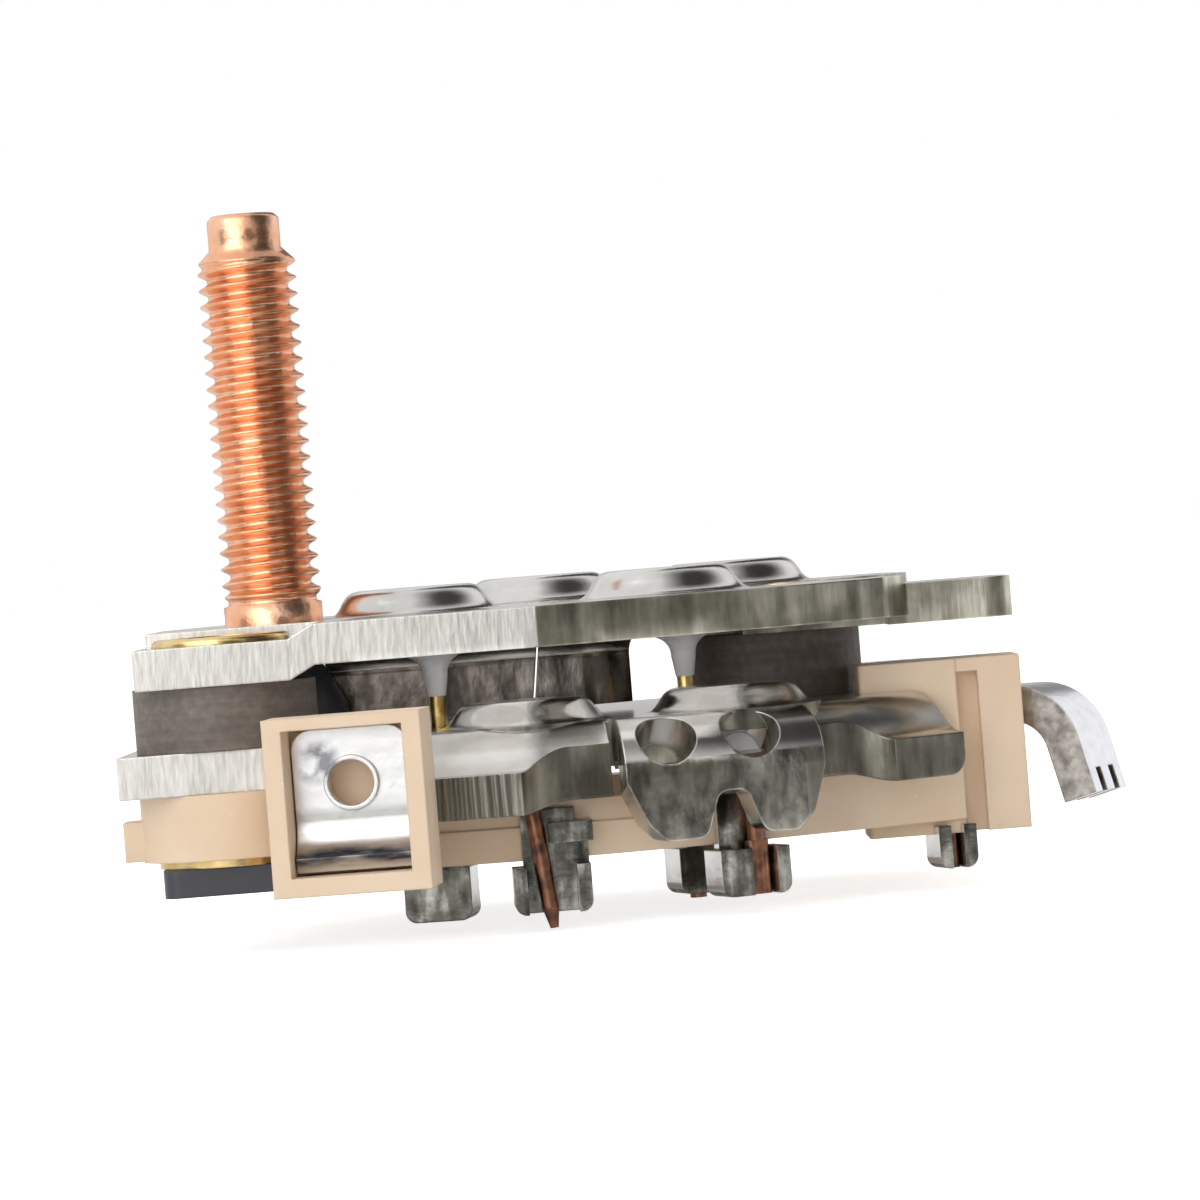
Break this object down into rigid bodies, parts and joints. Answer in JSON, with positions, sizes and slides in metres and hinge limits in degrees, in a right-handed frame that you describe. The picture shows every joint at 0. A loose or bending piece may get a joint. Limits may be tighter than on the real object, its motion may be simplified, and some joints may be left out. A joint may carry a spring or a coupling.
{
  "type": "alternator diode plate",
  "caption": "Rectifier of a car alternator: stamped heat sink plates with soldered diodes under domes, a moulded terminal block with crimped leads, and a threaded output stud.",
  "frame": {"origin": "on the left mounting hole's axis, at the level of the lower plate's top face", "axes": "+Z along the output stud, towards its free end; -Y towards the curved rim with the terminals; +X towards the right block"},
  "size_m": [0.0603, 0.049, 0.044],
  "materials": {
    "tinned_plate": "bright tin plating over stamped sheet",
    "copper": "bright copper",
    "brass": "bright brass",
    "black_plastic": "satin black",
    "brown_phenolic": "dull brown",
    "beige_moulding": "satin beige moulding",
    "tinned_terminal": "bright tin",
    "silicon": "solder-faced silicon",
    "copper_lead": "tinned copper with a golden tone",
    "grey_resin": "satin grey resin"
  },
  "bodies": {
    "root": {"upper_heat_sink": "tinned_plate", "lower_heat_sink": "tinned_plate", "b_plus_stud": "copper", "stud_cap": "black_plastic", "left_spacer": "brown_phenolic", "left_eyelet": "brass", "right_spacer": "brown_phenolic", "right_eyelet": "brass", "left_bush": "black_plastic", "terminal_block": "beige_moulding", "screw_terminal": "tinned_terminal", "curved_terminal": "tinned_terminal", "crimp_terminal_1": "tinned_terminal", "crimp_terminal_2": "tinned_terminal", "crimp_terminal_3": "tinned_terminal", "crimp_terminal_4": "tinned_terminal", "crimp_terminal_5": "tinned_terminal", "crimp_terminal_6": "tinned_terminal", "crimp_terminal_7": "tinned_terminal", "upper_diode_1_chip": "silicon", "upper_diode_1_lead": "copper_lead", "upper_diode_1_resin": "grey_resin", "upper_diode_2_chip": "silicon", "upper_diode_2_lead": "copper_lead", "upper_diode_2_resin": "grey_resin", "upper_diode_3_chip": "silicon", "upper_diode_3_lead": "copper_lead", "upper_diode_3_resin": "grey_resin", "upper_diode_4_chip": "silicon", "upper_diode_4_lead": "copper_lead", "upper_diode_4_resin": "grey_resin", "lower_diode_1_chip": "silicon", "lower_diode_1_lead": "copper_lead", "lower_diode_1_resin": "grey_resin", "lower_diode_2_chip": "silicon", "lower_diode_2_lead": "copper_lead", "lower_diode_2_resin": "grey_resin", "lower_diode_3_chip": "silicon", "lower_diode_3_lead": "copper_lead", "lower_diode_3_resin": "grey_resin", "lower_diode_4_chip": "silicon", "lower_diode_4_lead": "copper_lead", "lower_diode_4_resin": "grey_resin", "tap_wire": "copper_lead"}
  },
  "joints": []
}
